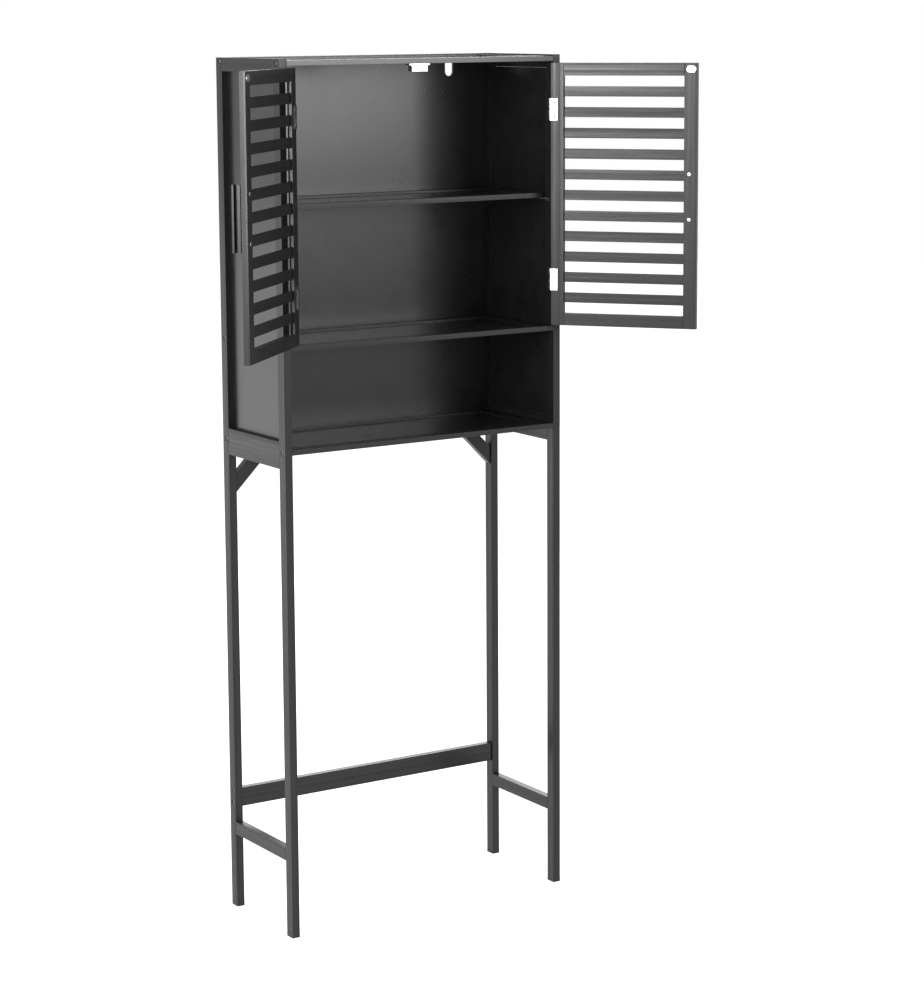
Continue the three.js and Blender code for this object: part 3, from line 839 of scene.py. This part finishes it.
# %% Countersunk screws in the strike plates
for side, (to_open, _, _) in DOORS.items():
    plate_low, plate_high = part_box(side + "_strike_plate")
    shut_plate = to_open.inverted() @ ((plate_low + plate_high) / 2)
    plate_x = (shut_plate.x - MIDDLE_X) / MM
    plate_z = (plate_low.z + plate_high.z) / 2 / MM
    plate_face = inner_face(side + "_strike_plate", to_open)

    def strike_screw(mesh):
        spot = place(plate_x, plate_face, plate_z)
        seat = to_open @ seat_at(spot, (0, 1, 0), random.uniform(0, math.pi))
        turned(mesh, FLAT_SCREW_RINGS, seat, RECESS_STARTS)

    make_piece(
        side + "_strike_screw", side + "_door",
        [nickel, painted_recess_shade], strike_screw,
    )
    print(side, "strike plate at", [round(v, 3) for v in (plate_x, plate_face, plate_z)], "mm")

# %% [markdown]
# ## Floor and light
#
# A catalogue picture of black furniture is really a picture of what the lacquer mirrors. A white
# room all round gives the even grey on every face. Four soft boxes then shape it. The
# brightest is on the left and slightly in front, for the open right door. A broad weaker one
# at the front right is mirrored by the back panel and the top front rail. Two faint wide ones
# stand behind, on the right and on the left, for the tops of the lower rails and for the
# cabinet's left side. The boxes are hidden from the camera but not from the lacquer.
#
# The floor is a plain pale disc, far bigger than the rack. It glows faintly, so that it meets
# the white room without a visible edge.

# %% A plain pale floor
FLOOR_RADIUS = 14.0
FLOOR_SIDES = 96
FLOOR_DROP = 0.3
FLOOR_GREY = "#e2e2e2"
FLOOR_GLOW = 0.4

floor_mesh = bmesh.new()
bmesh.ops.create_circle(floor_mesh, cap_ends=True, radius=FLOOR_RADIUS, segments=FLOOR_SIDES)
floor_data = bpy.data.meshes.new("floor")
floor_mesh.to_mesh(floor_data)
floor_mesh.free()
floor = bpy.data.objects.new("floor", floor_data)
bpy.context.scene.collection.objects.link(floor)
floor.location = (MIDDLE_X, FRONT_Y, -FLOOR_DROP * MM)
floor_paint, _, floor_shader = new_material("pale_matt_floor")
floor_shader.inputs["Base Color"].default_value = linear(FLOOR_GREY)
floor_shader.inputs["Roughness"].default_value = 0.9
floor_shader.inputs["Specular IOR Level"].default_value = 0.1
floor_shader.inputs["Emission Color"].default_value = linear("#ffffff")
floor_shader.inputs["Emission Strength"].default_value = FLOOR_GLOW
floor_data.materials.append(floor_paint)
floor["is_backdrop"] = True

# %% A white room and four soft boxes
world = bpy.data.worlds.new("white_room")
bpy.context.scene.world = world
world.use_nodes = True
room = world.node_tree.nodes["Background"]
room.inputs["Color"].default_value = linear("#ffffff")
room.inputs["Strength"].default_value = 1.0

LIGHT_SPREAD = 4.0  # an area light's power per square metre for a brightness of one


def soft_box(name, centre, target, wide, tall, brightness):
    """A rectangular soft box. Places are in millimetres, sizes in metres."""
    light = bpy.data.lights.new(name, "AREA")
    light.shape = "RECTANGLE"
    light.size = wide
    light.size_y = tall
    light.energy = brightness * LIGHT_SPREAD * wide * tall
    box = bpy.data.objects.new(name, light)
    bpy.context.scene.collection.objects.link(box)
    box.location = place(*centre)
    facing = place(*target) - box.location
    box.rotation_mode = "QUATERNION"
    box.rotation_quaternion = facing.to_track_quat("-Z", "Y")
    box.visible_camera = False
    print(name, "power", round(light.energy, 1), "W")


soft_box("left_soft_box", (-2750, -1150, 2000), (0, 100, 2000), 0.9, 1.5, 21.0)
soft_box("right_front_soft_box", (1300, -2920, 2190), (0, 0, 2190), 1.5, 1.6, 8.5)
soft_box("back_right_soft_box", (1900, 3100, 1400), (0, 100, 1100), 2.4, 1.7, 1.9)
soft_box("back_left_soft_box", (-1900, 2700, 600), (-300, 100, 600), 2.6, 1.1, 0.8)

view = bpy.context.scene.view_settings
view.view_transform = "Standard"
view.look = "None"
view.exposure = 0.0
view.gamma = 1.0

# %% [markdown]
# ## The size at the end
#
# Nothing that was added is meant to stand outside the CAD model's box. Both boxes are printed:
# the CAD model's and the one with everything added.

# %% Write both boxes and finish
visual_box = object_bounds()
for low_high, word in ((cad_box, "CAD box"), (visual_box, "visual box")):
    print(word, [[round(v, 4) for v in corner] for corner in low_high])
